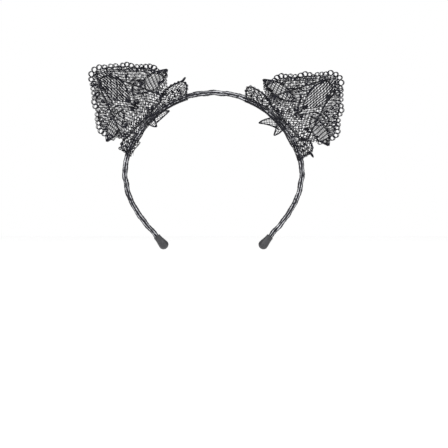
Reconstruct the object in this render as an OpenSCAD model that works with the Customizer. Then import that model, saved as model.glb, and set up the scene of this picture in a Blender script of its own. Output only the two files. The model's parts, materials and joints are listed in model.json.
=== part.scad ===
// Animal ears headband: a sprung strip wound with ribbon, carrying two pointed lace ears.
// The hoop lies in the XZ plane. +Z is up and the wearer faces -Y.
// The origin is the centre of the hoop's round upper part. Sizes are in millimetres.

/* [Hoop] */
// Radius of the round upper part, at the inside of the wound band
inner_r = 65; // [62:1:72]
// Thickness of the wound band, outwards from the head
band_t = 3.4; // [3.2:0.1:3.8]
// Width of the wound band, front to back
band_w = 6.4; // [6:0.2:6.6]
// Thickness of the sprung strip inside the ribbon
strip_t = 1.8; // [1.4:0.1:2]
// Width of the sprung strip inside the ribbon
strip_w = 4.8; // [4:0.2:5]

/* [Legs] */
// Radius of the bend that brings each leg inwards
leg_r = 58; // [52:1:64]
// Height angle where the leg starts, and where the strip is taken to flex
leg_from = 11; // [8:1:11]
// Angle by which the leg is set inwards where it starts
leg_set = 8; // [4:1:10]
// Angle below the middle where the bend ends and the leg runs straight
leg_to = 40; // [36:1:44]
// Length of the straight end of each leg
leg_straight = 22.5; // [18:0.5:28]

/* [Ears] */
// Direction of the left ear, from +X
left_ear_angle = 137; // [134:0.5:139]
// Direction of the right ear, from +X
right_ear_angle = 40.5; // [39:0.5:45]
// Thickness of one layer of lace
lace_t = 0.8; // [0.6:0.1:0.9]
// Diameter of the hidden support wire
wire_d = 1.2; // [1:0.1:1.4]
// Radius of one edge loop
loop_r = 1.9; // [1.6:0.1:2.1]

/* [Hidden] */

$fa = 3;
$fs = 0.4;

// Centreline of the wound band
mid_r = inner_r + band_t / 2;
// Clearance between the strip and the ribbon round it
wrap_gap = 0.05;
// Corner radius of the wound band's section
band_corner = 0.9;

// The flex axis, on the band's centreline
flex_p = mid_r * [cos(leg_from), sin(leg_from)];
// Direction from the centre of the leg's bend to the flex axis, and that centre
leg_top = leg_from - leg_set;
leg_c = flex_p - leg_r * [cos(leg_top), sin(leg_top)];
// Round barrel on the flex axis, and the running clearance round it
flex_r = 1.2;
flex_gap = 0.05;
// The ribbon stops this far along the band, either side of the flex axis
flex_bare = 2.6;

// End cap: bulb radius, half its extra width, its sleeve on the band, and its mouth's wall
cap_r = 3.7;
cap_spread = 1;
cap_sleeve = 7;
cap_wall = 0.8;
cap_mouth = 1;

// Ears are drawn at the band's centreline with x along the band, towards the top, and z outwards.
// Each fan: its centre, the radius to its loops' centres, its direction, half its spread, its loops
FANS = [
    [[24.3, 21.6], 6.2, 38, 58, 5],
    [[13.3, 34.8], 6.9, 40, 55, 5],
    [[0, 47.6], 7.6, 90, 105, 8]
];
// The lace's body between the fans
LACE_BODY = [
    [-21, 7.8], [21, 7.8], [29, 17], [26, 27], [16, 40],
    [6, 52], [-6, 52], [-16, 40], [-26, 27], [-29, 17]
];
// Side leaves: root, tip and half width
UPPER_LEAF = [[8, 19.5], [36.3, 13.6], 5.2];
LOWER_LEAF = [[-8, 19.5], [-33, 13.8], 5.2];
// Each layer leans in towards the wire from its foot, and stops this clear of it
lace_foot_z = 7.8;
lace_foot_y = 3.6;
lace_top_z = 57;
lace_clear = 0.3;
lace_top_y = wire_d / 2 + lace_clear + lace_t / 2;
lace_lean = atan((lace_foot_y - lace_top_y) / (lace_top_z - lace_foot_z));

// Support wire: straight foot at the tilt axis, and the corner circles of its triangle
axis_z = 3;
foot_corner = [16.5, 7];
foot_corner_r = foot_corner.y - axis_z;
top_corner = [0, 41];
top_corner_r = 6;
// Collars that close the wire's joins
collar_wall = 0.15;
collar_r = wire_d / 2 + collar_wall;
collar_len = 1.6;
side_run = top_corner - foot_corner;
side_angle = atan2(side_run.y, side_run.x)
    - acos((foot_corner_r - top_corner_r) / norm(side_run));

// Bindings: where they sit along the foot, their length, their walls on the band and round the
// wire, the extra depth that follows the band's curve, and their clearances
BINDINGS = [-13, -4.5, 4.5, 13];
binding_len = 2.2;
binding_wall = 0.4;
binding_eye_wall = 0.75;
binding_eye_r = wire_d / 2 + binding_eye_wall;
binding_depth = 0.5;
binding_band_gap = 0.05;
wire_gap = 0.05;
// Half the angle of the stretch of band that the bindings are cut to
binding_span = 20;

// The lace that crosses the band: its gap to the bindings, and its outline
base_gap = 0.2;
base_y = band_w / 2 + binding_wall + base_gap + lace_t / 2;
BASE = [
    [-17, -5.2], [-11, -4.1], [-6, -2.7], [0, -2.5], [7, -2.7],
    [13, -3.5], [17, -4.2], [17, 4], [-17, 4]
];
// The front one's two tips inside the hoop, which hang differently: root, point and half width
LEFT_TIPS = [[[2.5, -1], [16.6, -6.2], 3], [[1, 0.5], [1.7, -7.7], 2.4]];
RIGHT_TIPS = [[[1.5, -1.5], [11.9, -12.6], 3.2], [[-0.5, 0.5], [-2.5, -9.9], 2.6]];

// Lobes: lace tabs folded round the band, with a small gap to the ribbon
lobe_gap = 0.12;
lobe_y = band_w / 2 + lobe_gap + lace_t / 2;
UPPER_LOBE = [
    [18, -2.5], [18, 5.2], [24, 6.3], [29, 6.2], [34.5, 4.2],
    [38.4, 0], [38.6, -3.6], [35, -9], [27.5, -6.5]
];
LOWER_LOBE = [
    [-18, -2.5], [-18, 5.2], [-22, 6.3], [-25.5, 6], [-28.6, 3.6],
    [-31.4, -0.6], [-30.2, -6.4], [-25, -5.4]
];
// Angles along the band that each fold spans, and how far out its sides reach
UPPER_FOLD = [16, 32];
LOWER_FOLD = [16, 26.5];
fold_top = 2.4;

black = [0.08, 0.08, 0.1];
lace_black = [0.13, 0.13, 0.15];
steel = [0.45, 0.46, 0.48];
rubber = [0.06, 0.06, 0.07];

// ---- shared shapes ----

// Rectangle with round corners, x outwards from the head and y front to back
module section(t, w, r) {
    square([t, w - 2 * r], center = true);
    square([t - 2 * r, w], center = true);
    for (x = [-1, 1], y = [-1, 1])
        translate([x * (t / 2 - r), y * (w / 2 - r)]) circle(r);
}

module strip_section(gap = 0) {
    square([strip_t + 2 * gap, strip_w + 2 * gap], center = true);
}

module ribbon_section() {
    difference() {
        section(band_t, band_w, band_corner);
        strip_section(wrap_gap);
    }
}

// Sweep of a section round the Y axis, angles measured from +X towards +Z
module arc_bar(r, from, to) {
    rotate([90, 0, 0]) rotate([0, 0, from])
        rotate_extrude(angle = to - from) translate([r, 0]) children();
}

// A flat layer in the XZ plane, t thick, with its middle at y
module layer(y, t) {
    translate([0, y + t / 2, 0]) rotate([90, 0, 0]) linear_extrude(t) children();
}

module on_side(side) {
    mirror([side == "left" ? 1 : 0, 0, 0]) children();
}

// Where the leg's bend meets its straight end, with x outwards and z back up the leg
module at_leg_join() {
    translate([leg_c.x, 0, leg_c.y]) rotate([0, leg_to, 0])
        translate([leg_r, 0, 0]) children();
}

module at_leg_tip() {
    at_leg_join() translate([0, 0, -leg_straight]) children();
}

// The round upper part of the band, to this short of the flex axes
module crown_bar(short) {
    stop = leg_from + short / mid_r * 180 / PI;
    arc_bar(mid_r, stop, 180 - stop) children();
}

// One leg of the band, from this short of the flex axis to the tip
module leg_bar(short) {
    turn = leg_top + leg_to - short / leg_r * 180 / PI;
    at_leg_join() {
        translate([-leg_r, 0, 0]) arc_bar(leg_r, 0, turn) children();
        translate([0, 0, -leg_straight]) linear_extrude(leg_straight) children();
    }
}

module flex_barrel(r, w) {
    translate([flex_p.x, 0, flex_p.y]) rotate([90, 0, 0])
        cylinder(r = r, h = w, center = true);
}

// Pointed leaf from a to b, half as wide as w says at its middle
module leaf(a, b, w) {
    half = norm(b - a) / 2;
    r = (half * half + w * w) / (2 * w);
    turn = atan2(b.y - a.y, b.x - a.x);
    translate((a + b) / 2) rotate(turn) intersection() {
        translate([0, r - w]) circle(r);
        translate([0, w - r]) circle(r);
    }
}

// One shell fan: a disc with a row of loops round its outer side
module fan(centre, r, aim, spread, loops) {
    translate(centre) {
        circle(r);
        for (i = [0:loops - 1])
            rotate(aim + spread * (2 * i / (loops - 1) - 1))
                translate([r, 0]) circle(loop_r);
    }
}

module lace_outline() {
    polygon(LACE_BODY);
    for (f = FANS) {
        fan(f[0], f[1], f[2], f[3], f[4]);
        if (f[0].x > 0) mirror([1, 0, 0]) fan(f[0], f[1], f[2], f[3], f[4]);
    }
    leaf(UPPER_LEAF[0], UPPER_LEAF[1], UPPER_LEAF[2]);
    leaf(LOWER_LEAF[0], LOWER_LEAF[1], LOWER_LEAF[2]);
}

// Stands an ear, or its base, on the band
module in_ear(side) {
    turn = 90 - (side == "left" ? left_ear_angle : right_ear_angle);
    rotate([0, turn, 0]) mirror([side == "left" ? 0 : 1, 0, 0])
        translate([0, 0, mid_r]) children();
}

// A sweep along the band in ear coordinates, angles measured from the ear's own direction
module along_band(from, to) {
    translate([0, 0, -mid_r]) arc_bar(mid_r, 90 - to, 90 - from) children();
}

// ---- strip, ribbon and caps ----

module crown_strip() {
    color(steel) {
        crown_bar(0) strip_section();
        for (side = ["left", "right"]) on_side(side) flex_barrel(flex_r, strip_w);
    }
}

module leg_strip(side) {
    color(steel) on_side(side) difference() {
        leg_bar(0) strip_section();
        flex_barrel(flex_r + flex_gap, 2 * strip_w);
    }
}

module crown_ribbon() {
    color(black) crown_bar(flex_bare) ribbon_section();
}

module leg_ribbon(side) {
    color(black) on_side(side) leg_bar(flex_bare) ribbon_section();
}

module end_cap(side) {
    color(rubber) on_side(side) at_leg_tip() difference() {
        hull() {
            for (y = [-1, 1])
                translate([0, y * cap_spread, -cap_mouth]) sphere(cap_r, $fn = 32);
            translate([0, 0, cap_sleeve - cap_mouth]) linear_extrude(cap_mouth)
                square([band_t + 2 * cap_wall, band_w + 2 * cap_wall], center = true);
        }
        linear_extrude(2 * cap_sleeve)
            section(band_t + 2 * wrap_gap, band_w + 2 * wrap_gap, band_corner);
    }
}

// ---- ears ----

// Support wire: a rounded triangle whose straight foot is the tilt axis
module ear_wire(side) {
    side_len = sqrt(pow(norm(side_run), 2) - pow(foot_corner_r - top_corner_r, 2));
    color(steel) in_ear(side) {
        translate([0, 0, axis_z]) rotate([0, 90, 0])
            cylinder(d = wire_d, h = 2 * foot_corner.x, center = true);
        translate([top_corner.x, 0, top_corner.y])
            arc_bar(top_corner_r, side_angle, 180 - side_angle) circle(d = wire_d);
        for (s = [0, 1]) mirror([s, 0, 0]) {
            translate([foot_corner.x, 0, axis_z]) rotate([0, 90, 0]) wire_collar();
            translate([top_corner.x, 0, top_corner.y]) rotate([0, -side_angle, 0])
                translate([top_corner_r, 0, 0]) wire_collar();
            translate([foot_corner.x, 0, foot_corner.y]) {
                arc_bar(foot_corner_r, -90, side_angle) circle(d = wire_d);
                rotate([0, -side_angle, 0]) translate([foot_corner_r, 0, 0]) {
                    cylinder(d = wire_d, h = side_len);
                    wire_collar();
                }
            }
        }
    }
}

module wire_collar() {
    cylinder(r = collar_r, h = collar_len, center = true);
}

// One layer of an ear's lace, in front (facing = -1) or behind (facing = 1)
module ear_lace(side, facing) {
    color(lace_black) in_ear(side) mirror([0, facing < 0 ? 0 : 1, 0])
        translate([0, -lace_foot_y, lace_foot_z]) rotate([-lace_lean, 0, 0])
            translate([0, 0, -lace_foot_z]) layer(0, lace_t) lace_outline();
}

// The lace that crosses the band under an ear. The front one has two tips inside the hoop.
module ear_base(side, facing) {
    tips = side == "left" ? LEFT_TIPS : RIGHT_TIPS;
    color(lace_black) in_ear(side) layer(facing * base_y, lace_t) {
        polygon(BASE);
        if (facing < 0) for (tip = tips) leaf(tip[0], tip[1], tip[2]);
    }
}

// A lobe: two leaves of lace, joined by a fold inside the hoop
module ear_lobe(side, outline, fold, flip) {
    color(lace_black) in_ear(side) {
        for (facing = [-1, 1]) layer(facing * lobe_y, lace_t) polygon(outline);
        mirror([flip, 0, 0]) along_band(fold[0], fold[1]) fold_section();
    }
}

// The fold's section: a U that is open outwards, its sides buried in the two leaves
module fold_section() {
    side_t = lace_t / 2;
    wide = 2 * lobe_y + side_t;
    bottom = -band_t / 2 - lobe_gap - lace_t;
    difference() {
        translate([bottom, -wide / 2]) square([fold_top - bottom, wide]);
        translate([bottom + lace_t, -wide / 2 + side_t])
            square([fold_top - bottom, wide - 2 * side_t]);
    }
}

// Thread bindings: each holds the wire's foot to the band
module ear_bindings(side) {
    color(black) in_ear(side) difference() {
        for (x = BINDINGS) binding(x);
        along_band(-binding_span, binding_span) section(band_t + 2 * binding_band_gap,
            band_w + 2 * binding_band_gap, band_corner);
        translate([0, 0, axis_z]) rotate([0, 90, 0])
            cylinder(r = wire_d / 2 + wire_gap, h = 4 * foot_corner.x, center = true);
    }
}

module binding(x) {
    sink = mid_r - sqrt(mid_r * mid_r - x * x);
    belt_t = band_t + 2 * binding_wall + binding_depth;
    belt_w = band_w + 2 * binding_wall;
    translate([x - binding_len / 2, 0, 0]) rotate([90, 0, 90]) linear_extrude(binding_len) {
        translate([0, -sink]) section(belt_w, belt_t, band_corner);
        translate([0, axis_z]) circle(binding_eye_r);
        translate([0, (axis_z - sink) / 2])
            square([2 * binding_eye_r, axis_z + sink], center = true);
    }
}

crown_strip();
leg_strip("left");  // left_leg_strip
leg_strip("right");  // right_leg_strip
crown_ribbon();
leg_ribbon("left");  // left_leg_ribbon
leg_ribbon("right");  // right_leg_ribbon
end_cap("left");  // left_end_cap
end_cap("right");  // right_end_cap
ear_wire("left");  // left_ear_wire
ear_lace("left", -1);  // left_ear_front_lace
ear_lace("left", 1);  // left_ear_back_lace
ear_base("left", -1);  // left_ear_front_base
ear_base("left", 1);  // left_ear_back_base
ear_lobe("left", UPPER_LOBE, UPPER_FOLD, 0);  // left_ear_upper_lobe
ear_lobe("left", LOWER_LOBE, LOWER_FOLD, 1);  // left_ear_lower_lobe
ear_bindings("left");  // left_ear_bindings
ear_wire("right");  // right_ear_wire
ear_lace("right", -1);  // right_ear_front_lace
ear_lace("right", 1);  // right_ear_back_lace
ear_base("right", -1);  // right_ear_front_base
ear_base("right", 1);  // right_ear_back_base
ear_lobe("right", UPPER_LOBE, UPPER_FOLD, 0);  // right_ear_upper_lobe
ear_lobe("right", LOWER_LOBE, LOWER_FOLD, 1);  // right_ear_lower_lobe
ear_bindings("right");  // right_ear_bindings
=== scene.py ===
import json
import math

import bpy
import numpy as np
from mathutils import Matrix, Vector

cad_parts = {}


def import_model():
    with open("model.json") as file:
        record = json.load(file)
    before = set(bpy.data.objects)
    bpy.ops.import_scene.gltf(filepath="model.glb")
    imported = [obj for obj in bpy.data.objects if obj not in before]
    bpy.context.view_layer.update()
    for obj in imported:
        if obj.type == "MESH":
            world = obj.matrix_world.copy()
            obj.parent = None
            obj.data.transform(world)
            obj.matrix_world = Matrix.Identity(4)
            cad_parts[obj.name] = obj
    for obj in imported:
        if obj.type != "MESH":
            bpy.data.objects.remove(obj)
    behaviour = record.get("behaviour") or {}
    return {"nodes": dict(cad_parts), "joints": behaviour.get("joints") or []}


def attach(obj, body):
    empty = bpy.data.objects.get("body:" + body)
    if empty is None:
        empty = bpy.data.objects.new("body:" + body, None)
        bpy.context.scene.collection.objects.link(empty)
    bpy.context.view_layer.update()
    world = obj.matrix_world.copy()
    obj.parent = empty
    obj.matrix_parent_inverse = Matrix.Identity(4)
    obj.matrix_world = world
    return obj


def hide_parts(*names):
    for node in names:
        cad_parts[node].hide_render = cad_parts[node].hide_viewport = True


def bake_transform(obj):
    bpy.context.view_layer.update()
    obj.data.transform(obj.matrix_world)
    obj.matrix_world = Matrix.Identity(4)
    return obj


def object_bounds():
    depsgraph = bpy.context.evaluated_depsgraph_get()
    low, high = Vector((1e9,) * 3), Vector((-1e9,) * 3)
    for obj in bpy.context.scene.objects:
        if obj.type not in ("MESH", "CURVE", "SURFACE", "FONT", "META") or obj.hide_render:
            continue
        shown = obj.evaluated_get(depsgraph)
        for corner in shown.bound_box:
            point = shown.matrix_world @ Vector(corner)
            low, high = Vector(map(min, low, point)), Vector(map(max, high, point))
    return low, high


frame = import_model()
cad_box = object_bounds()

# Looks of the animal ears headband. Patterns are drawn flat in millimetres, as threads, and each
# sheet of lace has a place function that carries its flat pattern to the frame.
MM = 0.001

SIDES = (("left", -1), ("right", 1))

# ---- sizes repeated from the CAD source, in millimetres ----
# Band: thickness and width, then the radius of each leg's bend, its inward set, the direction in
# which its bend ends, and the straight stretch after it
BAND_T = 3.4
BAND_W = 6.4
LEG_R = 58
LEG_SET = math.radians(8)
LEG_TO = math.radians(40)
LEG_STRAIGHT = 22.5
# Ears, from the band's centreline: the tilt axis, the support wire's radius, and the bindings'
# places along the band
AXIS_Z = 3
WIRE_R = 0.6
BINDINGS = (-13, -4.5, 4.5, 13)
# Each layer of an ear leans in from its foot: height and distance from the middle, there and at
# the top. Below, it runs out to the depth at which the bases cross the band.
LACE_FOOT_Z = 7.8
LACE_FOOT_Y = 3.6
LACE_TOP_Z = 57
LACE_TOP_Y = 1.3
BASE_Y = 4.25
# Radius of an edge loop
LOOP_R = 1.9
# Each fan of loops: its centre, the radius to its loops' centres, its direction, half its spread
# and its number of loops. Those off the middle have a mirrored twin.
FANS = (
    ((24.3, 21.6), 6.2, 38, 58, 5),
    ((13.3, 34.8), 6.9, 40, 55, 5),
    ((0, 47.6), 7.6, 90, 105, 8),
)
# Side leaves: root, tip and half width
LEAVES = {
    "upper": ((8, 19.5), (36.3, 13.6), 5.2),
    "lower": ((-8, 19.5), (-33, 13.8), 5.2),
}

# ---- looks, in millimetres ----
# Claws of the front base, inside the hoop: root, point, half width at the root, and bow
CLAWS = {
    "left": (((3.5, -2.4), (16.8, -6.8), 3.6, 0.5), ((2.6, -1), (1.6, -7.8), 3.6, -0.6)),
    "right": (((1.5, -1.5), (11.9, -12.6), 4.2, 1.4), ((0.6, -0.5), (-2.5, -9.9), 3.6, -0.8)),
}
# How each ear's limp lace hangs: its lean to one side, and its slide along the band
HANG = {"left": (0.05, 1.5), "right": (-0.075, -1.8)}
# Radius of the petal's heavy cord
PETAL_CORD = {"left": 0.36, "right": 0.62}
# Each lobe against the pattern: length and height, then how far its fold hangs below the band's
# middle at the ear and at the far end
LOBE_FIT = {
    "left_ear_upper": (1.0, 1.0, 2.25, 2.25), "left_ear_lower": (0.98, 0.72, 4.8, 2.5),
    "right_ear_upper": (0.955, 0.8, 2.25, 2.25), "right_ear_lower": (1.0, 1.16, 2.5, 2.25)
}
# Where the lobes begin beside an ear, and from where their length changes
LOBE_FROM = 16.5
LOBE_STRETCH_FROM = 20
# The back layer of an ear lies this far off the front one
MISFIT = (0.4, -0.3)
# Round threads with a larger radius than this are cords, which show their plies
CORD_R = 0.42
PLY_LENGTH = 1.3
# Half of the band's girth holds six of the ribbon's painted highlight streaks
PAINTED_HIGHLIGHT_PITCH = (BAND_T + BAND_W) / 6

# ---- places that come from the frame ----
joints = {j["name"]: j for j in frame["joints"]}


def joint_place(name):
    return np.array(joints[name]["pos_m"], float) / MM


flex = joint_place("right_leg_flex")
MID_R = float(np.linalg.norm(flex))
FLEX_ANGLE = math.atan2(flex[2], flex[0])


# ---- small geometry ----

def unit(v):
    """Each vector of an array at length 1."""
    return v / np.maximum(np.linalg.norm(v, axis=-1, keepdims=True), 1e-9)


def between(x, low, high):
    """Eases from 0 to 1 as x goes from low to high."""
    t = np.clip((x - low) / (high - low), 0, 1)
    return t * t * (3 - 2 * t)


def squared(x, power):
    """A sine or cosine moved towards its ends, which makes a round section boxy."""
    return np.sign(x) * abs(x) ** power


def direction(angle):
    """The direction at an angle in degrees."""
    return np.array([math.cos(math.radians(angle)), math.sin(math.radians(angle))])


def line(a, b, step=0.8):
    """A straight line, in even steps."""
    n = max(2, int(math.dist(a, b) / step) + 1)
    return np.linspace(a, b, n)


def arc(centre, r, start, end, step=0.45):
    """An arc between two directions in degrees."""
    n = max(4, int(abs(math.radians(end - start)) * r / step) + 1)
    a = np.radians(np.linspace(start, end, n))
    return np.array(centre) + r * np.c_[np.cos(a), np.sin(a)]


def ring(centre, r, step=0.45):
    """A closed circle, without its last point."""
    return arc(centre, r, 0, 360, step)[:-1]


def curve(points, step=0.7):
    """A smooth open line through a few points."""
    p = np.array(points, float)
    ends = np.vstack([2 * p[0] - p[1], p, 2 * p[-1] - p[-2]])
    out = []
    for i in range(len(p) - 1):
        a, b, c, d = ends[i:i + 4]
        n = max(2, int(np.linalg.norm(c - b) / step))
        t = np.linspace(0, 1, n, endpoint=False)[:, None]
        out.append(0.5 * (2 * b + (c - a) * t + (2 * a - 5 * b + 4 * c - d) * t ** 2
                          + (3 * b - a - 3 * c + d) * t ** 3))
    return np.vstack([*out, p[-1:]])


def scallops(centre, r, waves, depth, start, end, step=0.35):
    """An arc whose radius swells by depth in each of its waves, like worked shells."""
    n = int(math.radians(end - start) * r / step)
    t = np.linspace(0, 1, max(n, 8))
    a = np.radians(start + (end - start) * t)
    reach = r + depth * abs(np.sin(math.pi * waves * t))
    return np.array(centre) + reach[:, None] * np.c_[np.cos(a), np.sin(a)]


def sway(p):
    """Bends straight lines smoothly, so that the net's holes turn as those of worked lace do."""
    x, y = p[:, 0], p[:, 1]
    return p + np.c_[np.sin(y / 5.2 + x / 11), np.sin(x / 4.6 - y / 9.5)]


def leaf_line(leaf, k, start=0.0, end=1.0):
    """A line from a leaf's root to its tip; k is -1 and 1 on its two edges.
    A fourth number makes the leaf a claw, widest at its root and bowed to one side."""
    a, b, w = np.array(leaf[0], float), np.array(leaf[1], float), leaf[2]
    n = max(6, int(np.linalg.norm(b - a) / 0.8))
    x = np.linspace(start, end, n)[:, None]
    across = np.array([-(b - a)[1], (b - a)[0]]) / np.linalg.norm(b - a)
    if len(leaf) == 3:
        return a + (b - a) * x + across * (k * w * (1 - (2 * x - 1) ** 2))
    bow = leaf[3] * 4 * x * (1 - x)
    return a + (b - a) * x + across * (bow + k * w * (1 - x) ** 0.75)


def leaf_outline(leaf):
    """Both edges of a leaf as one closed outline."""
    return np.vstack([leaf_line(leaf, 1), leaf_line(leaf, -1)[::-1]])


def inside(outline, p):
    """Which of the points lie inside a closed outline."""
    x, y = p[:, 0], p[:, 1]
    found = np.zeros(len(p), bool)
    q = np.roll(outline, 1, axis=0)
    for (x1, y1), (x2, y2) in zip(outline, q):
        if y1 != y2:
            found ^= ((y1 > y) != (y2 > y)) & (x < (x2 - x1) * (y - y1) / (y2 - y1) + x1)
    return found


def cut_area(outlines, step=0.2):
    """Area that one or more of the outlines cover, counted on a fine grid."""
    points = np.vstack(outlines)
    (x0, y0), (x1, y1) = points.min(0), points.max(0)
    x, y = np.meshgrid(np.arange(x0, x1, step), np.arange(y0, y1, step))
    grid = np.c_[x.ravel(), y.ravel()]
    found = np.zeros(len(grid), bool)
    for outline in outlines:
        found |= inside(outline, grid)
    return float(found.sum()) * step * step


# ---- threads ----

class Lace:
    """Threads of one sheet, in its flat pattern. A thread is its line, radius, height off the
    sheet, whether it is closed, and how flat it is."""

    def __init__(self, seed, wobble=0.13):
        self.threads = []
        self.random = np.random.default_rng(seed)
        self.phase = self.random.uniform(0, 2 * math.pi, 4)
        self.wobble = wobble

    def add(self, points, r=0.3, height=0.0, closed=False, flat=0.66):
        points = np.array(points, float)
        if len(points) > 1:
            self.threads.append((points, r, height, closed, flat))

    def drop(self, a, b, w, height=0.1):
        """A solid worked drop from a to b, fullest just before its middle."""
        points = line(a, b, 0.4)
        x = np.linspace(0, 1, len(points))
        self.add(points, w * (0.12 + np.sin(math.pi * x ** 0.8) ** 0.8), height, flat=0.4)

    def fill(self, test, box, angle, pitch, r=0.28, height=0.0, wave=0.0, bend_all=None):
        """Parallel threads across wherever test is true; wave bends each one from side to side.
        The shortest ends are left out, and a longer thread keeps every second point."""
        (x0, y0), (x1, y1) = box
        middle = np.array([(x0 + x1) / 2, (y0 + y1) / 2])
        reach = math.hypot(x1 - x0, y1 - y0) / 2
        way = direction(angle)
        across = np.array([-way[1], way[0]])
        run = np.arange(-reach, reach, 0.4)
        for i, off in enumerate(np.arange(-reach, reach, pitch)):
            bend = wave * np.sin(run / pitch * math.pi + (i % 2) * math.pi)
            p = middle + run[:, None] * way + (off + bend)[:, None] * across
            p = bend_all(p) if bend_all else p
            for part in stretches(test(p)):
                if len(part) > 3:
                    self.add(p[part][::2] if len(part) > 6 else p[part], r, height)

    def shift(self, points):
        """A smooth shift that depends only on place, so that threads that meet still meet."""
        x, y = points[:, 0], points[:, 1]
        a, b, c, d = self.phase
        dx = np.sin(x / 3.1 + y / 4.3 + a) + 0.6 * np.sin(y / 1.9 - x / 2.7 + b)
        dy = np.sin(y / 2.9 - x / 4.7 + c) + 0.6 * np.sin(x / 2.1 + y / 2.3 + d)
        return points + self.wobble * np.c_[dx, dy]


def stretches(found):
    """The runs of True, as lists of places in the array, each a step longer at both ends."""
    places = np.flatnonzero(found)
    if not len(places):
        return []
    runs = np.split(places, np.flatnonzero(np.diff(places) > 1) + 1)
    last = len(found) - 1
    return [np.arange(max(0, r[0] - 1), min(last, r[-1] + 1) + 1) for r in runs]


def tube_rings(centre, up, r, flat, closed, sides, ply):
    """Rings of points round a line, and its length at each ring. The plies swell it by ply."""
    if closed:
        way = np.roll(centre, -1, axis=0) - np.roll(centre, 1, axis=0)
    else:
        way = np.gradient(centre, axis=0)
    way = unit(way)
    side = unit(np.cross(way, up))
    top = unit(np.cross(side, way))
    steps = np.linalg.norm(np.diff(centre, axis=0), axis=1)
    along = np.r_[0, np.cumsum(steps)]
    a = np.arange(sides) * 2 * math.pi / sides
    r = np.broadcast_to(np.asarray(r, float), (len(centre),))
    twist = 1 + ply * np.cos(2 * a[None, :] - along[:, None] * 2 * math.pi / PLY_LENGTH)
    size = (r[:, None] * twist)[:, :, None]
    points = centre[:, None] + size * (np.cos(a)[:, None] * side[:, None]
                                       + flat * np.sin(a)[:, None] * top[:, None])
    return points, along


class MeshParts:
    """Collects closed tubes into one mesh with a UV layer that runs along each tube.
    A piece wound on the band has a second one: millimetres round the band, and along it."""

    def __init__(self):
        self.points, self.faces, self.uvs, self.places, self.count = [], [], [], [], 0

    def tube(self, rings, along, closed, places=None):
        n, sides = rings.shape[:2]
        start = self.count
        if places is not None:
            self.places.append(places.reshape(-1, 2))
        self.points.append(rings.reshape(-1, 3))
        self.count += n * sides
        rows = n if closed else n - 1
        i, j = np.meshgrid(np.arange(rows), np.arange(sides), indexing="ij")
        i, j = i.ravel(), j.ravel()
        ni, nj = (i + 1) % n, (j + 1) % sides
        self.faces += (start + np.c_[i * sides + j, ni * sides + j,
                                     ni * sides + nj, i * sides + nj]).tolist()
        closing_step = 0.5
        far = np.where(ni > i, along[ni], along[i] + closing_step)
        u = np.c_[along[i], far, far, along[i]]
        v = np.c_[j, j, j + 1, j + 1] / sides
        self.uvs.append(np.stack([u, v], axis=2).reshape(-1, 2))
        if not closed:
            for face, at in ((range(sides), 0), (range(sides - 1, -1, -1), n - 1)):
                self.faces.append([start + at * sides + k for k in face])
                self.uvs.append(np.full((sides, 2), along[at]))

    def build(self, name, material):
        mesh = bpy.data.meshes.new(name)
        mesh.from_pydata((np.vstack(self.points) * MM).tolist(), [], self.faces)
        layer = mesh.uv_layers.new(name="along")
        layer.data.foreach_set("uv", np.vstack(self.uvs).astype(np.float32).ravel())
        if self.places:
            corners = np.empty(len(mesh.loops), np.int32)
            mesh.loops.foreach_get("vertex_index", corners)
            layer = mesh.uv_layers.new(name="on_band")
            layer.data.foreach_set("uv", np.vstack(self.places)[corners].astype(np.float32).ravel())
        mesh.polygons.foreach_set("use_smooth", np.ones(len(mesh.polygons), bool))
        mesh.materials.append(material)
        mesh.update()
        obj = bpy.data.objects.new(name, mesh)
        bpy.context.scene.collection.objects.link(obj)
        return obj


def lace_object(name, lace, place):
    """One mesh of all a sheet's threads, carried from the flat pattern to the sheet's place."""
    parts = MeshParts()
    for points, r, height, closed, flat in lace.threads:
        p = lace.shift(points)
        centre = place(p, height)
        up = unit(place(p, height + 0.1) - centre)
        is_cord = float(np.max(r)) > CORD_R and flat > 0.5
        sides, ply = (8, 0.09) if is_cord else (6, 0)
        rings, along = tube_rings(centre, up, r, flat, closed, sides, ply)
        parts.tube(rings, along, closed)
    return parts.build(name, lace_thread)


# ---- materials ----

# Scales of the noise textures, in waves to a metre
DYE = 420
WEAR = 900
FIBRE = 5200
LACQUER = 500
GRAIN = 2600
DUST = 300
RUBBER_GRAIN = 3500
SATIN_GLOSS = 240
SATIN_FOLDS = 700


def new_material(name):
    m = bpy.data.materials.new(name)
    m.use_nodes = True
    return m, m.node_tree.nodes, m.node_tree.links, m.node_tree.nodes["Principled BSDF"]


def noise(nodes, links, source, scale, detail=3.0):
    n = nodes.new("ShaderNodeTexNoise")
    n.inputs["Scale"].default_value = scale
    n.inputs["Detail"].default_value = detail
    links.new(source, n.inputs["Vector"])
    return n


def ramp(nodes, links, source, low, high, at=(0.35, 0.65)):
    """Colours from low to high, between two values of the source."""
    r = nodes.new("ShaderNodeValToRGB")
    r.color_ramp.elements[0].position, r.color_ramp.elements[1].position = at
    r.color_ramp.elements[0].color = (*low, 1)
    r.color_ramp.elements[1].color = (*high, 1)
    links.new(source, r.inputs["Fac"])
    return r


def range_of(nodes, links, source, low, high):
    """A source that runs from 0 to 1, stretched to run from low to high."""
    r = nodes.new("ShaderNodeMapRange")
    r.inputs["To Min"].default_value = low
    r.inputs["To Max"].default_value = high
    links.new(source, r.inputs["Value"])
    return r


def bump(nodes, links, sources, shader, distance):
    """Adds bump from each (height socket, share) in turn."""
    before = None
    strength = 0.6
    for height, share in sources:
        b = nodes.new("ShaderNodeBump")
        b.inputs["Strength"].default_value = strength * share
        b.inputs["Distance"].default_value = distance
        links.new(height, b.inputs["Height"])
        if before:
            links.new(before, b.inputs["Normal"])
        before = b.outputs["Normal"]
    links.new(before, shader.inputs["Normal"])


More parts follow.
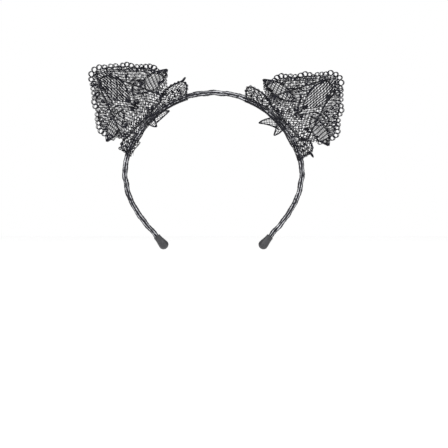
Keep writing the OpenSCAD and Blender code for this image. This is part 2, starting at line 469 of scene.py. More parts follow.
def along_wave(nodes, links, along_scale, across_scale):
    """Bands in the piece's own UV, which runs along each thread or ribbon in millimetres."""
    uv = nodes.new("ShaderNodeUVMap")
    uv.uv_map = "along"
    m = nodes.new("ShaderNodeMapping")
    m.inputs["Scale"].default_value = (along_scale, across_scale, 1)
    links.new(uv.outputs["UV"], m.inputs["Vector"])
    w = nodes.new("ShaderNodeTexWave")
    w.inputs["Scale"].default_value = 1.0
    w.inputs["Distortion"].default_value = 0.6
    w.inputs["Detail"].default_value = 1.0
    links.new(m.outputs["Vector"], w.inputs["Vector"])
    return w


def thread_material(name, low, high, rough, sheen, gloss):
    """Twisted rayon thread: plies by bump, and uneven tone in its colour, which is dye, and on the
    lighter binding thread also painted sheen.
    """
    m, nodes, links, shader = new_material(name)
    at = nodes.new("ShaderNodeTexCoord").outputs["Object"]
    dye_and_painted_sheen = noise(nodes, links, at, DYE)
    links.new(ramp(nodes, links, dye_and_painted_sheen.outputs["Fac"], low, high).outputs["Color"],
              shader.inputs["Base Color"])
    links.new(range_of(nodes, links, noise(nodes, links, at, WEAR).outputs["Fac"],
                       rough - 0.1, rough + 0.12).outputs["Result"], shader.inputs["Roughness"])
    plies = along_wave(nodes, links, 0.55, 0.32)
    fibre = noise(nodes, links, at, FIBRE, 2)
    bump(nodes, links, [(plies.outputs["Fac"], 1), (fibre.outputs["Fac"], 0.5)], shader, 0.00008)
    shader.inputs["Sheen Weight"].default_value = sheen
    shader.inputs["Sheen Roughness"].default_value = 0.4
    shader.inputs["Specular IOR Level"].default_value = gloss
    return m


def calculate(nodes, links, operation, a, b=0.0):
    """One step of arithmetic on a socket and a socket or number."""
    n = nodes.new("ShaderNodeMath")
    n.operation = operation
    for socket, value in zip(n.inputs, (a, b)):
        if isinstance(value, float):
            socket.default_value = value
        else:
            links.new(value, socket)
    return n.outputs["Value"]


def band_pattern(nodes, links, around_scale, along_scale):
    """The place on the band, about in millimetres round it and along it, scaled for a texture."""
    uv = nodes.new("ShaderNodeUVMap")
    uv.uv_map = "on_band"
    m = nodes.new("ShaderNodeMapping")
    m.inputs["Scale"].default_value = (around_scale, along_scale, 1)
    links.new(uv.outputs["UV"], m.inputs["Vector"])
    return m.outputs["Vector"]


def painted_edge_shade_mask(nodes, links):
    """Mask for painted shade: 1 on the flat sides of the band, and 0 where the ribbon turns over its
    long edges, whose colour is painted dark.
    """
    # From the middle of the front or back to its edge, then how far off the edge is still dark,
    # and how far off is fully light
    edge_at, dark_to, light_from = 2.75, 1.2, 1.9
    split = nodes.new("ShaderNodeSeparateXYZ")
    links.new(band_pattern(nodes, links, 1, 1), split.inputs["Vector"])
    around = calculate(nodes, links, "ABSOLUTE", split.outputs["X"])
    off = calculate(nodes, links, "SUBTRACT", around, (BAND_T + BAND_W) / 2)
    off = calculate(nodes, links, "ABSOLUTE", off)
    off = calculate(nodes, links, "ABSOLUTE", calculate(nodes, links, "SUBTRACT", off, edge_at))
    edge = nodes.new("ShaderNodeMapRange")
    edge.inputs["From Min"].default_value = dark_to
    edge.inputs["From Max"].default_value = light_from
    links.new(off, edge.inputs["Value"])
    return edge.outputs["Result"]


def painted_highlight_lines(nodes, links):
    """Wavy lines along the band, for the painted highlights. A wave texture of scale 1 has a line in
    every tau / 20 units.
    """
    lines = nodes.new("ShaderNodeTexWave")
    lines.inputs["Scale"].default_value = 1.0
    lines.inputs["Distortion"].default_value = 1.3
    lines.inputs["Detail"].default_value = 1.0
    lines.inputs["Detail Scale"].default_value = 2.0
    wave_scale = math.tau / 20 / PAINTED_HIGHLIGHT_PITCH
    links.new(band_pattern(nodes, links, wave_scale, 0.06), lines.inputs["Vector"])
    return lines.outputs["Fac"]


def satin_material():
    """Satin ribbon: fine floats and creases by bump. Painted highlights make short light streaks along
    the band in its colour.
    Painted shade keeps the edges dark, where the ribbon turns over."""
    m, nodes, links, shader = new_material("black_satin_ribbon")
    at = nodes.new("ShaderNodeTexCoord").outputs["Object"]
    # Painted highlights: these noises and the wavy lines make light streaks in the black ribbon's
    # colour; the crease noise also drives the bump
    crease_and_painted_highlight = noise(nodes, links, band_pattern(nodes, links, 1.1, 0.3), 1.0, 2).outputs["Fac"]
    painted_highlight_patch = noise(nodes, links, band_pattern(nodes, links, 0.2, 0.13), 1.0, 1).outputs["Fac"]
    painted_highlight = calculate(nodes, links, "MULTIPLY", painted_highlight_lines(nodes, links), 0.3)
    for texture, share in ((crease_and_painted_highlight, 0.8), (painted_highlight_patch, 0.15)):
        painted_highlight = calculate(nodes, links, "ADD", painted_highlight,
                           calculate(nodes, links, "MULTIPLY", texture, share))
    # Painted shade: the colour goes to near black where the ribbon turns over its long edges
    painted_highlight = calculate(nodes, links, "MULTIPLY", painted_highlight, painted_edge_shade_mask(nodes, links))
    # Colour from near black to light grey; the light end is painted highlight
    links.new(ramp(nodes, links, painted_highlight, (0.012, 0.012, 0.016),
                   (0.60, 0.605, 0.63), (0.62, 0.78)).outputs["Color"],
              shader.inputs["Base Color"])
    links.new(range_of(nodes, links, noise(nodes, links, at, SATIN_GLOSS).outputs["Fac"],
                       0.32, 0.55).outputs["Result"], shader.inputs["Roughness"])
    floats = along_wave(nodes, links, 0.03, 9.0)
    folds = noise(nodes, links, at, SATIN_FOLDS, 3)
    bump(nodes, links, [(floats.outputs["Fac"], 0.5), (folds.outputs["Fac"], 1),
                        (crease_and_painted_highlight, 1)], shader, 0.0003)
    shader.inputs["Specular IOR Level"].default_value = 0.15
    shader.inputs["Sheen Weight"].default_value = 0.03
    shader.inputs["Anisotropic"].default_value = 0.5
    return m


def rubber_material():
    """Matt black rubber, lighter and duller where dust clings to it."""
    m, nodes, links, shader = new_material("cap_rubber_black")
    at = nodes.new("ShaderNodeTexCoord").outputs["Object"]
    dust = noise(nodes, links, at, DUST, 6)
    links.new(ramp(nodes, links, dust.outputs["Fac"], (0.010, 0.010, 0.012),
                   (0.028, 0.028, 0.032)).outputs["Color"], shader.inputs["Base Color"])
    links.new(range_of(nodes, links, dust.outputs["Fac"], 0.42, 0.66).outputs["Result"],
              shader.inputs["Roughness"])
    grain = noise(nodes, links, at, RUBBER_GRAIN, 2)
    bump(nodes, links, [(grain.outputs["Fac"], 1)], shader, 0.00004)
    return m


def metal_material(name, low, high, metallic, rough):
    """Drawn metal or lacquered wire, with uneven tone and a fine grain."""
    m, nodes, links, shader = new_material(name)
    at = nodes.new("ShaderNodeTexCoord").outputs["Object"]
    tone = noise(nodes, links, at, LACQUER, 4)
    links.new(ramp(nodes, links, tone.outputs["Fac"], low, high).outputs["Color"],
              shader.inputs["Base Color"])
    links.new(range_of(nodes, links, tone.outputs["Fac"], rough - 0.08, rough + 0.1)
              .outputs["Result"], shader.inputs["Roughness"])
    grain = noise(nodes, links, at, GRAIN, 3)
    bump(nodes, links, [(grain.outputs["Fac"], 1)], shader, 0.00003)
    shader.inputs["Metallic"].default_value = metallic
    return m


lace_thread = thread_material("lace_thread_black", (0.002, 0.002, 0.003), (0.012, 0.012, 0.018),
                              0.55, 0.02, 0.09)
# Black binding thread whose lighter tones are painted sheen as well as uneven dye
cord_thread = thread_material("binding_thread_black", (0.03, 0.03, 0.035),
                              (0.22, 0.22, 0.23), 0.45, 0.1, 0.3)
satin = satin_material()
rubber = rubber_material()
wire_lacquer = metal_material("wire_lacquer_black", (0.02, 0.02, 0.023), (0.045, 0.045, 0.05),
                              0.3, 0.36)
spring_steel = metal_material("spring_strip_steel", (0.30, 0.31, 0.33), (0.46, 0.47, 0.49),
                              1.0, 0.3)


# ---- the wound band ----

# Distances along the band from its top: the flex axis, the end of the leg's bend, the tip, and
# where the leg's ribbon takes over from the crown's
FLEX_S = MID_R * (math.pi / 2 - FLEX_ANGLE)
BEND_END = FLEX_S + LEG_R * (FLEX_ANGLE - LEG_SET + LEG_TO)
TIP_S = BEND_END + LEG_STRAIGHT
SPLIT_S = FLEX_S - 15
# The leg's inward set, and its flex, are spread this far to both sides of the flex axis
KINK = 8.0


def band_table():
    """The band's centreline from the top to the right tip: distance, x, z and direction.
    It runs on a little past the tip, for the cap."""
    step, spare = 0.05, 12
    s = np.arange(0, TIP_S + spare, step)
    bend = np.where(s < FLEX_S, 1 / MID_R, np.where(s < BEND_END, 1 / LEG_R, 0.0))
    bend = bend + np.where(abs(s - FLEX_S) < KINK, LEG_SET / (2 * KINK), 0.0)
    turn = np.r_[0, np.cumsum((bend[1:] + bend[:-1]) / 2 * step)]
    x = np.r_[0, np.cumsum(np.cos(turn)[:-1] * step)]
    z = MID_R - np.r_[0, np.cumsum(np.sin(turn)[:-1] * step)]
    return s, x, z, turn


BAND = band_table()


def band_frame(s):
    """Centre, direction and outward normal at distance s from the top, to the right if positive."""
    side = np.where(s < 0, -1.0, 1.0)
    table_s, x, z, turn = BAND
    at = [np.interp(abs(s), table_s, v) for v in (x, z, turn)]
    zero = np.zeros_like(at[0])
    centre = np.stack([side * at[0], zero, at[1]], axis=-1)
    way = np.stack([np.cos(at[2]), zero, -side * np.sin(at[2])], axis=-1)
    out = np.stack([side * np.sin(at[2]), zero, np.cos(at[2])], axis=-1)
    return centre, way, out


def band_section(angle, extra):
    """Point on the band's rounded section, grown by extra: outwards, and front to back."""
    boxy = 0.5
    outward = (BAND_T / 2 + extra) * squared(np.cos(angle), boxy)
    width = (BAND_W / 2 + extra) * squared(np.sin(angle), boxy)
    return outward, width


def crinkle(angle, s):
    """Height of the lengthwise creases and loose places of the wound ribbon, from sums of waves
    whose lengths don't repeat together."""
    creases = 0.07 * np.sin(10 * angle + 1.3 * np.sin(s / 5.5) + 0.8 * np.sin(s / 2.1))
    loose = 0.22 * np.sin(s / 3.1 + 1.5 * np.sin(s / 8) + 1.4 * np.cos(angle))
    loose = loose + 0.14 * np.sin(s / 1.6 + 2 * np.cos(angle)) + 0.1
    return creases + loose


def wound_ribbon(name, start, end, seed):
    """One long ribbon wound from start to end, each turn lapping over the turn before it."""
    rng = np.random.default_rng(seed)
    # Distance between turns, half the ribbon's width, its thickness, how far its edges lie above
    # and below its middle, how much its middle swells, and its steps to a turn
    pitch, half, thick, lap, swell, round_steps = 3.05, 2.1, 0.07, 0.15, 0.05, 44
    turns = abs(end - start) / pitch
    way = 1 if end > start else -1
    steps = int(turns * round_steps)
    angle = np.linspace(0, turns * 2 * math.pi, steps)
    marks = np.arange(int(turns) + 2) * 2 * math.pi
    lift = np.interp(angle, marks, rng.uniform(-0.08, 0.14, len(marks)))
    slide = np.interp(angle, marks, rng.uniform(-0.5, 0.5, len(marks)))
    across = np.linspace(-half, half, 6)
    loops, places = [], []
    around = ((angle / math.pi + 1) % 2 - 1) * (BAND_T + BAND_W)
    for layer in (1, 0):
        order = across if layer else across[::-1]
        for w in order:
            s = start + way * (pitch * angle / (2 * math.pi) + slide + w)
            s = np.clip(s, min(start, end) - 1, max(start, end) + 1)
            height = -0.03 - lap * w / half + swell * (1 - (w / half) ** 2) + lift
            height = height + crinkle(angle, s) - (0 if layer else thick)
            outward, width = band_section(angle, height)
            centre, _, out = band_frame(s)
            point = centre + outward[:, None] * out
            point[:, 1] = width
            loops.append(point)
            places.append(np.c_[around, s])
    rings, places = np.stack(loops, axis=1), np.stack(places, axis=1)
    if way > 0:
        rings, places = rings[:, ::-1], places[:, ::-1]
    along = np.r_[0, np.cumsum(np.linalg.norm(np.diff(rings[:, 2], axis=0), axis=1))]
    parts = MeshParts()
    parts.tube(rings, along, False, places)
    return parts.build(name, satin)


def leg_ribbon(side, sign):
    """A leg's ribbon is wound from inside its cap up to the crown's ribbon."""
    short_of_tip, gap = 0.5, 0.4
    leg_wrap = wound_ribbon(side + "_leg_ribbon_wound", sign * (TIP_S - short_of_tip),
                            sign * (SPLIT_S + gap), 11 + sign)
    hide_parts(side + "_leg_ribbon")
    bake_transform(leg_wrap)


crown_wrap = wound_ribbon("crown_ribbon_wound", -SPLIT_S, SPLIT_S, 3)
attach(crown_wrap, "crown")
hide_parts("crown_ribbon")

for side, sign in SIDES:
    leg_ribbon(side, sign)


# ---- end caps ----

def end_cap(side, sign):
    """A moulded cap: a rolled mouth, a sleeve over the ribbon, and a rounded bulb.
    Its section is boxy on the sleeve, and turns oval on the bulb."""
    # Place along the leg from the tip, half thickness, half width
    stations = [(-5.4, 1.75, 3.25), (-6.7, 1.8, 3.3), (-7.05, 2.1, 3.6), (-6.95, 2.62, 4.1),
                (-6.5, 2.72, 4.2), (-6.0, 2.6, 4.08), (-4.0, 2.75, 4.15), (-1.5, 3.25, 4.4),
                (0.6, 3.65, 4.66), (1.6, 3.68, 4.66), (2.6, 3.4, 4.3), (3.5, 2.75, 3.6),
                (4.2, 1.8, 2.5), (4.6, 0.9, 1.3)]
    sides, boxy = 28, 0.62
    a = np.arange(sides) * 2 * math.pi / sides
    rings = []
    for along, t, w in stations:
        power = boxy + (1 - boxy) * between(along, -3, 1)
        centre, _, out = band_frame(np.array(sign * (TIP_S + along)))
        point = centre + t * squared(np.cos(a), power)[:, None] * out
        point[:, 1] = w * squared(np.sin(a), power)
        rings.append(point)
    rings = np.array(rings)
    parts = MeshParts()
    along = np.arange(len(stations), dtype=float)
    parts.tube(rings if sign < 0 else rings[:, ::-1], along, False)
    cap = parts.build(side + "_end_cap_moulded", rubber)
    soften = cap.modifiers.new("soften", "SUBSURF")
    soften.levels = soften.render_levels = 2
    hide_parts(side + "_end_cap")
    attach(cap, side + "_leg")


for side, sign in SIDES:
    end_cap(side, sign)


# ---- ear frames ----

def ear_frame(side):
    """The ear's outward direction, its direction along the band towards the top, and its foot."""
    out = unit(joint_place(side + "_ear_tilt"))
    along = np.array([out[2], 0, -out[0]])
    if along[2] < 0:
        along = -along
    return out, along, out * MID_R


def depth_of_ear(v):
    """How far a layer of the ear stands from the middle at height v."""
    lean = (LACE_FOOT_Y - LACE_TOP_Y) / (LACE_TOP_Z - LACE_FOOT_Z)
    upper = LACE_FOOT_Y - lean * (v - LACE_FOOT_Z)
    lower = LACE_FOOT_Y + (BASE_Y - LACE_FOOT_Y) * between(v, LACE_FOOT_Z, 4)
    return np.where(v > LACE_FOOT_Z, upper, lower)


def flat_place(side, facing, depth, pucker=0.0, phase=0.0):
    """Carries a flat (u, v) pattern to a layer in front (-1) or behind (1)."""
    out, along, foot = ear_frame(side)

    def place(p, height):
        u, v = p[:, 0], p[:, 1]
        ripple = pucker * (1 + np.sin(u / 4.7 + v / 6.1 + phase) * np.sin(v / 5.3 - phase))
        y = depth(v) + ripple * between(v, 8, 18) + height
        point = foot + u[:, None] * along + v[:, None] * out
        point[:, 1] = facing * y
        return point

    return place


def hang(side, p):
    """Carries a point of the even pattern to where it is in an ear that hangs a little askew.
    The foot is held by the band, and the wire holds the top from sliding."""
    lean, slide = HANG[side]
    u, v = p[:, 0], p[:, 1]
    free = between(v, 5, 14)
    loose = 1 - between(v, 42, 54)
    return np.c_[u + slide * free * loose, v + lean * u * free]


def wrap_place(side, near, far):
    """Carries a flat (s, q) pattern round the band: q is 0 inside the hoop, and negative in front.
    The fold hangs near below the band's middle beside the ear, and far at the lobe's end."""
    out, along, _ = ear_frame(side)
    # Half the depth of the fold, its corners' radius, the stretch along the band over which near
    # gives way to far, and the height up the leaf at which the two no longer differ
    half, corner, run, height_of_run = 3.72, 1.1, 11, 5

    def place(p, height):
        s, q = p[:, 0], p[:, 1]
        angle = s / MID_R
        across = np.abs(q)
        turn = corner * math.pi / 2
        straight = half - corner
        t = np.clip((across - straight) / turn, 0, 1) * math.pi / 2
        reach = corner + height
        y = np.minimum(across, straight) + reach * np.sin(t)
        beyond = np.maximum(across - straight - turn, 0)
        taken_up = (near - far) * between(abs(s), LOBE_FROM, LOBE_FROM + run)
        taken_up = taken_up * (1 - between(beyond, 0, height_of_run))
        rise = -near + corner - reach * np.cos(t) + beyond + taken_up
        radial = np.cos(angle)[:, None] * out + np.sin(angle)[:, None] * along
        point = (MID_R + rise)[:, None] * radial
        point[:, 1] = np.sign(q) * y
        return point

    return place, half - corner + corner * math.pi / 2, near - corner


# ---- lace patterns ----

# The long petal up the middle of an ear: root, tip and half width
PETAL = ((0, 19.5), (0, 52.5), 7.4)
# Edge of the net, between and behind the fans, and a box round the whole ear
BODY = curve([(-17, 2.6), (0, 2.2), (17, 2.6), (25, 5.0), (30.5, 8.2), (31, 13), (29.5, 18),
              (26, 27), (21, 33), (16, 40), (10, 46.5), (5, 51), (0, 52.5), (-5, 51),
              (-10, 46.5), (-16, 40), (-21, 33), (-26, 27), (-28, 18), (-27, 13),
              (-24.5, 8.2), (-21, 4.6), (-17, 2.6)])
BOX = ((-40, 0), (40, 60))
# Cords that curl through the net, drawn on one side and mirrored
SCROLLS = (
    ((2.5, 16), (8, 24.5), (15.5, 26), (18.6, 21.6), (15, 17.6), (11.5, 19.6)),
    ((7.6, 36), (9.5, 29.5), (17, 28.2)),
)
# Solid worked drops: root, direction in degrees and length
DROPS = (
    (14.5, 20.5, 30, 3.6), (15.5, 23.5, 75, 3.4), (-4.6, 36.5, 85, 4.5), (0.8, 20.5, 105, 3.6),
    (-1.4, 20.5, 60, 3.2), (-14.5, 10, 150, 3.4), (-12.5, 9, 110, 3.4), (6.4, 4.5, 70, 3.4),
    (8.8, 4, 35, 3.2), (-17, 5, 150, 3.4), (24.5, 12, 10, 2.6), (-21, 12.4, 172, 2.6),
    (11, 33, 40, 3), (-11, 30, 140, 3), (20, 30, 40, 2.6), (-19, 26, 130, 2.6), (18, 9, 15, 3)
)


def worked_leaf(lace, leaf, pitch=1.6, r=0.24, cord=0.3):
    """A leaf or claw: two edge cords, threads along it, lighter ones across, and a small solid tip."""
    outline = leaf_outline(leaf)
    low, high = outline.min(0), outline.max(0)
    box = (tuple(low - 1), tuple(high + 1))
    way = np.array(leaf[1], float) - np.array(leaf[0], float)
    angle = math.degrees(math.atan2(way[1], way[0]))
    for k in (-1, 1):
        lace.add(leaf_line(leaf, k), cord, 0.18)
    lace.fill(lambda p: inside(outline, p), box, angle, pitch, r)
    lace.fill(lambda p: inside(outline, p), box, angle + 78, pitch * 1.6, r * 0.85, -0.12)
    tip = leaf_line(leaf, 0, 0.9, 1.0)
    lace.drop(tip[0], tip[-1], cord * 1.3)


def shell_fan(lace, edging, centre, r, aim, spread, loops):
    """A row of loops. A side fan also has an eyelet, and a scalloped arc inside the loops."""
    low, high = aim - spread, aim + spread
    if centre[0]:
        reach = 0.6 * (r - LOOP_R - 0.1)
        lace.add(ring(centre, 0.95), 0.24, 0.1, closed=True)
        lace.add(scallops(centre, reach, 5, 0.6, low - 10, high + 10), 0.19, 0.08)
    slip = edging.random.uniform(-0.25, 0.25) * 2 * spread / (loops - 1)
    for a in np.linspace(low, high, loops) + slip:
        size = LOOP_R - 0.1 + edging.random.uniform(-0.22, 0.1)
        edging.add(ring(centre + r * direction(a), size, 0.4), 0.28, 0.05, closed=True)


def edge_picots(edging, fans):
    """Small loops along the net's edge, above the foot, where no fan covers it."""
    steps = np.linalg.norm(np.diff(BODY, axis=0), axis=1)
    along = np.r_[0, np.cumsum(steps)]
    for s in np.arange(1.0, along[-1], 3.1):
        p = np.array([np.interp(s, along, BODY[:, k]) for k in (0, 1)])
        clear = min(np.linalg.norm(p - centre) - r for centre, r, *_ in fans)
        if p[1] > 11 and clear > 0.6:
            size = 1.5 + edging.random.uniform(-0.2, 0.15)
            outwards = unit(p - np.array([0.0, 24.0]))
            edging.add(ring(p + outwards * size * 0.8, size, 0.35), 0.24, 0.05, closed=True)


def all_fans():
    """Every fan of an ear: the side ones are mirrored."""
    fans = []
    for centre, r, aim, spread, loops in FANS:
        fans.append((np.array(centre, float), r, aim, spread, loops))
        if centre[0] > 0:
            fans.append((np.array([-centre[0], centre[1]], float), r, 180 - aim, spread, loops))
    return fans


def curls(lace, test):
    """Small worked rings scattered through the net, where the test is true."""
    for x in np.arange(-34, 35, 3.9):
        for y in np.arange(5, 56, 3.9):
            p = np.array([x, y]) + lace.random.uniform(-1.2, 1.2, 2)
            size = lace.random.uniform(0.75, 1.35)
            if test(p[None])[0]:
                lace.add(ring(p, size, 0.4), 0.18, 0.08, closed=True)


def ear_lace(seed, petal_cord):
    """The threads of one layer of an ear, and of its edging of loops."""
    lace, edging = Lace(seed, 0.2), Lace(seed)
    leaves = [leaf_outline(LEAVES[k]) for k in ("upper", "lower")]
    petal = leaf_outline(PETAL)
    fans = all_fans()

    def in_petal(p):
        return inside(petal, p)

    def in_net(p):
        found = inside(BODY, p)
        for centre, r, *_ in fans:
            found |= np.linalg.norm(p - centre, axis=1) < r - LOOP_R
        for shape in (petal, *leaves):
            found &= ~inside(shape, p)
        return found

    # The net goes on behind the petal of the ear whose petal has the thinner cord
    net_pitch, net_r = 1.85, 0.19
    for angle in (52, 128):
        lace.fill(in_net, BOX, angle, net_pitch, net_r, 0.0, 0.3, sway)
        if petal_cord < CORD_R:
            lace.fill(in_petal, BOX, angle, 2 * net_pitch, net_r, -0.15, 0.3, sway)
    curls(lace, in_net)
    for k in (-1, 1):
        lace.add(leaf_line(PETAL, k), 0.24, 0.2)
    lace.add(leaf_line(PETAL, -1, 0.3, 0.9), petal_cord, 0.3)
    lace.fill(in_petal, BOX, 90, 1.6, 0.3, 0.05, 0.22)
    lace.fill(in_petal, BOX, 24, 1.9, 0.2, -0.15)
    for k in ("upper", "lower"):
        worked_leaf(lace, LEAVES[k])
    for fan in fans:
        shell_fan(lace, edging, *fan)
    edge_picots(edging, fans)
    for k in (-1, 1):
        for way in SCROLLS:
            lace.add(curve([(k * x, y) for x, y in way]), 0.28, 0.2)
    flower = np.array([0, 13.5])
    lace.add(ring(flower, 1.4), 0.34, 0.15, closed=True)
    for a in range(20, 161, 35):
        lace.drop(flower + 2.2 * direction(a), flower + 5.4 * direction(a), 0.6)
    for x, y, a, size in DROPS:
        way = size * direction(a)
        lace.drop((x, y), (x + way[0], y + way[1]), 0.65)
    above_foot = BODY[:, 1] > 12
    for part in stretches(above_foot):
        lace.add(BODY[part], 0.13, 0.1)
    return lace, edging


def ear_base(seed, tips):
    """The lace that crosses the band under an ear, and its claws inside the hoop."""
    lace = Lace(seed, 0.08)
    half, top = 17.3, 5
    edge = curve([(-half, -5.0), (-11, -3.9), (-6, -2.6), (0, -2.4), (7, -2.6), (13, -3.4),
                  (half, -4.1)])
    outline = np.vstack([edge, [(half, top), (-half, top)]])
    shapes = [leaf_outline(tip) for tip in tips]

    def in_net(p):
        found = inside(outline, p)
        for shape in shapes:
            found &= ~inside(shape, p)
        return found

    box = ((-20, -8), (20, 8))
    pitch, r = (3.1, 0.2) if tips else (2.1, 0.25)
    for angle in (58, 122):
        lace.fill(in_net, box, angle, pitch, r, 0.0, 0.3, sway)
    lace.add(edge, 0.26, 0.15)
    for x in (-half, half):
        lace.add(line((x, top), (x, -4.1)), 0.22, 0.1)
    for x, a in ((-12, 100), (6, 90)):
        way = 3.6 * direction(a)
        lace.drop((x, -1.5), (x + way[0], -1.5 + way[1]), 0.7)
    for tip in tips:
        worked_leaf(lace, tip, 1.2, 0.22, 0.5)
    return lace, outline, shapes


# Lobes, from beside the ear to their far end: place along the band, and height above its middle
UPPER_LOBE = ((16.5, 7.2), (21, 9.8), (26, 11.6), (31, 12.0), (34.6, 12.0), (36.9, 9.2),
              (36.4, 5.6), (35.0, 2.6), (34.4, -0.6))
LOWER_LOBE = ((-16.5, 6.8), (-19.6, 9.4), (-23, 9.7), (-25.8, 8.6), (-27.6, 5.4), (-28.4, 2.4),
              (-29.6, -0.6))
# Small worked tails on the lobes, which differ from ear to ear: root and point. One with a fifth
# number lies along the fold, inside the hoop, and stands off it by so much at its point.
TAILS = {
    "left_ear_upper": (34.6, 11.6, 37.6, 14.4), "right_ear_lower": (-26.5, 8.2, -30.6, 9.8),
    "left_ear_lower": (-23.5, -0.6, -28.2, -0.6, 1.7), "right_ear_upper": None
}


def ear_lobe(seed, shape, side_length, drop_below, tail):
    """A lobe folded round the band: the same leaf in front and behind, joined inside the hoop."""
    lace = Lace(seed, 0.12)
    top = curve(shape, 0.6)
    offset = side_length + drop_below
    front = np.c_[top[:, 0], -(top[:, 1] + offset)]
    back = np.c_[top[:, 0], top[:, 1] + offset][::-1]
    outline = np.vstack([front, back])
    low, high = outline.min(0), outline.max(0)
    box = (tuple(low), tuple(high))
    for angle in (38, 142):
        lace.fill(lambda p: inside(outline, p), box, angle, 1.8, 0.22, 0.0, 0.3, sway)
    for edge in (front, back):
        lace.add(edge, 0.26, 0.15)
        for p in edge[2::4]:
            lace.add(ring(p, 0.7, 0.35), 0.2, 0.15, closed=True)
    s0 = top[0, 0]
    lace.add(line(front[0], back[-1]), 0.24, 0.1)
    lace.add(line(front[-1], back[0]), 0.3, 0.1)
    for sign in (-1, 1):
        if tail and len(tail) > 4:
            points = line(tail[:2], tail[2:4], 0.4)
            x = np.linspace(0, 1, len(points))
            lace.add(points * (1, sign), 0.6 * (1.15 - x), 0.1 + tail[4] * x ** 2, flat=0.5)
        elif tail:
            a = np.array([tail[0], sign * (tail[1] + offset)])
            b = np.array([tail[2], sign * (tail[3] + offset)])
            lace.drop(a, b, 0.62, 0.15)
        for share in (0.3, 0.55, 0.8):
            s = s0 + share * (top[-1, 0] - s0)
            lace.drop((s, sign * (offset + 2.5)), (s * 1.04, sign * (offset + 5.5)), 0.6)
            lace.add(ring((s, sign * (offset + 7)), 0.8, 0.35), 0.24, 0.1, closed=True)
    return lace, outline


# ---- ears ----

def declare_sheet(outlines):
    """Works out the area that the sheet's cut covers, and keeps nothing of it."""
    cut_area(outlines) * MM * MM


def build_bindings(side):
    """Four bindings, each a coil of thread round the band, which closes in round the wire's foot."""
    out, along, foot = ear_frame(side)
    # The thread's radius, the coil's turns and its length, how far it closes in, and its
    # clearances from the band's sides, from the wire and from the band's inside
    thread, turns, length, pinch = 0.24, 5, 2.0, 0.72
    side_gap, wire_gap, inner_gap = 0.12, 0.05, 0.1
    parts = MeshParts()
    for x in BINDINGS:
        sink = MID_R - math.sqrt(MID_R ** 2 - x ** 2)
        t = np.linspace(0, turns, turns * 30)
        a = t * 2 * math.pi
        y = (BAND_W / 2 + thread + side_gap) * np.sin(a)
        y = y * (1 - pinch * between(np.cos(a), -0.15, 1))
        top = AXIS_Z + WIRE_R + thread + wire_gap
        low = -sink - BAND_T / 2 - thread - inner_gap
        v = (top + low) / 2 + (top - low) / 2 * squared(np.cos(a), 0.7)
        u = x + length * (t / turns - 0.5)
        centre = foot + u[:, None] * along + v[:, None] * out
        centre[:, 1] = y
        up = np.tile(along, (len(centre), 1))
        rings, reached = tube_rings(centre, up, thread, 1.0, False, 8, 0.08)
        parts.tube(rings, reached, False)
    obj = parts.build(side + "_ear_thread_bindings", cord_thread)
    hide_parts(side + "_ear_bindings")
    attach(obj, "crown")


def build_ear(side, seed):
    for layer, facing in (("front", -1), ("back", 1)):
        name = f"{side}_ear_{layer}"
        lace, edging = ear_lace(seed, PETAL_CORD[side])
        pucker = flat_place(side, facing, depth_of_ear, 0.22, seed + facing)
        misfit = np.array(MISFIT) * (facing > 0)

        def place(p, height, pucker=pucker, misfit=misfit):
            share = between(p[:, 1:], 6, 14)
            return pucker(hang(side, p) + misfit * share, height)

        net = lace_object(name + "_lace_threads", lace, place)
        loops = lace_object(name + "_edging_loops", edging, place)
        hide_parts(name + "_lace")
        for piece in (net, loops):
            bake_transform(piece)
        leaves = [leaf_outline(LEAVES[k]) for k in ("upper", "lower")]
        discs = [ring(centre, r - LOOP_R) for centre, r, *_ in all_fans()]
        declare_sheet([BODY, *leaves, *discs])

        claws = CLAWS[side] if facing < 0 else ()
        threads, outline, tips = ear_base(seed + 30 + facing, claws)
        base = lace_object(name + "_base_threads", threads,
                           flat_place(side, facing, lambda v: np.full(len(v), BASE_Y)))
        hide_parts(name + "_base")
        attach(base, "crown")
        declare_sheet([outline, *tips])

    for end, pattern in (("upper", UPPER_LOBE), ("lower", LOWER_LOBE)):
        tail = TAILS[f"{side}_ear_{end}"]
        length, height, near, far = LOBE_FIT[f"{side}_ear_{end}"]
        place, side_length, drop_below = wrap_place(side, near, far)
        shape = [(s * (length if abs(s) > LOBE_STRETCH_FROM else 1), v * height)
                 for s, v in pattern]
        threads, outline = ear_lobe(seed + 50 + len(shape), shape, side_length, drop_below, tail)
        lobe = lace_object(f"{side}_ear_{end}_lobe_threads", threads, place)
        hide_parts(f"{side}_ear_{end}_lobe")
        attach(lobe, "crown")
        declare_sheet([outline])
    build_bindings(side)


build_ear("left", 101)
build_ear("right", 202)


# ---- CAD nodes that stay ----

def give_material(node, material):
    obj = frame["nodes"][node]
    obj.data.materials.clear()
    obj.data.materials.append(material)


for node in ("crown_strip", "left_leg_strip", "right_leg_strip"):
    give_material(node, spring_steel)
for node in ("left_ear_wire", "right_ear_wire"):
    give_material(node, wire_lacquer)


# ---- floor, light and camera ----

def floor(height):
    """A wide pale floor, with a little glow of its own so that it stays nearly white far away."""
    mesh = bpy.data.meshes.new("floor")
    half = 4.0
    corners = [(x * half, y * half, height) for x, y in ((-1, -1), (1, -1), (1, 1), (-1, 1))]
    mesh.from_pydata(corners, [], [(0, 1, 2, 3)])
    m, nodes, links, shader = new_material("pale_floor")
    at = nodes.new("ShaderNodeTexCoord").outputs["Object"]
    tone = noise(nodes, links, at, 3)
    links.new(ramp(nodes, links, tone.outputs["Fac"], (0.93, 0.93, 0.93),
                   (0.96, 0.96, 0.96)).outputs["Color"], shader.inputs["Base Color"])
    shader.inputs["Roughness"].default_value = 0.9
    shader.inputs["Emission Color"].default_value = (1, 1, 1, 1)
    shader.inputs["Emission Strength"].default_value = 0.4
    mesh.materials.append(m)
    obj = bpy.data.objects.new("floor", mesh)
    bpy.context.scene.collection.objects.link(obj)


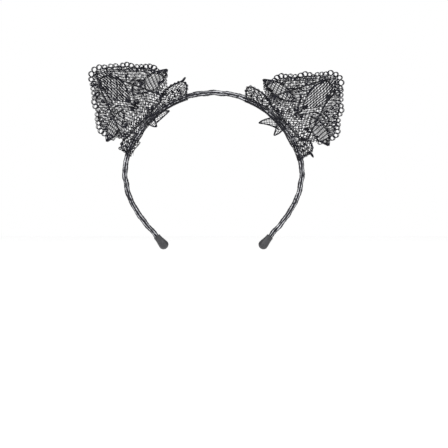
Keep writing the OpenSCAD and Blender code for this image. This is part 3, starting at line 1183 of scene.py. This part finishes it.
def soft_light(name, at, aim, size, power):
    """A round softbox: its place, what it points at, its diameter and its power."""
    data = bpy.data.lights.new(name, "AREA")
    data.shape = "DISK"
    data.size = size
    data.energy = power
    obj = bpy.data.objects.new(name, data)
    obj.location = at
    way = np.array(aim) - np.array(at)
    obj.rotation_mode = "QUATERNION"
    obj.rotation_quaternion = Vector(way).to_track_quat("-Z", "Y")
    bpy.context.scene.collection.objects.link(obj)


def world(strength, seen):
    """Soft light from all round, with a plain white background behind the object."""
    w = bpy.data.worlds.new("studio")
    w.use_nodes = True
    nodes, links = w.node_tree.nodes, w.node_tree.links
    light = nodes["Background"]
    light.inputs["Color"].default_value = (1, 1, 1, 1)
    light.inputs["Strength"].default_value = strength
    white = nodes.new("ShaderNodeBackground")
    white.inputs["Color"].default_value = (1, 1, 1, 1)
    white.inputs["Strength"].default_value = seen
    mix = nodes.new("ShaderNodeMixShader")
    links.new(nodes.new("ShaderNodeLightPath").outputs["Is Camera Ray"], mix.inputs["Fac"])
    links.new(light.outputs["Background"], mix.inputs[1])
    links.new(white.outputs["Background"], mix.inputs[2])
    links.new(mix.outputs["Shader"], nodes["World Output"].inputs["Surface"])
    bpy.context.scene.world = w


def camera():
    """Seen from straight in front, so far off that the view is almost flat."""
    # Distance to the headband, then the view's width and middle there
    distance, across, middle_x, middle_z = 1.5, 0.3317, 0.0078, -0.0304
    data = bpy.data.cameras.new("camera")
    data.sensor_width = 36
    data.lens = data.sensor_width * distance / across
    obj = bpy.data.objects.new("camera", data)
    obj.location = (middle_x, -distance, middle_z)
    obj.rotation_euler = (math.pi / 2, 0, 0)
    bpy.context.scene.collection.objects.link(obj)
    bpy.context.scene.camera = obj


bpy.context.scene.view_settings.view_transform = "Standard"
# Low enough for the end caps with both legs at their widest
FLOOR_DROP = 0.014
floor(float(cad_box[0].z) - FLOOR_DROP)
soft_light("key", (-0.5, -0.9, 0.9), (0, 0, 0.02), 0.7, 14)
soft_light("fill", (0.8, -0.8, 0.5), (0, 0, 0.02), 0.9, 6)
world(0.6, 1.0)
camera()

bpy.context.view_layer.update()
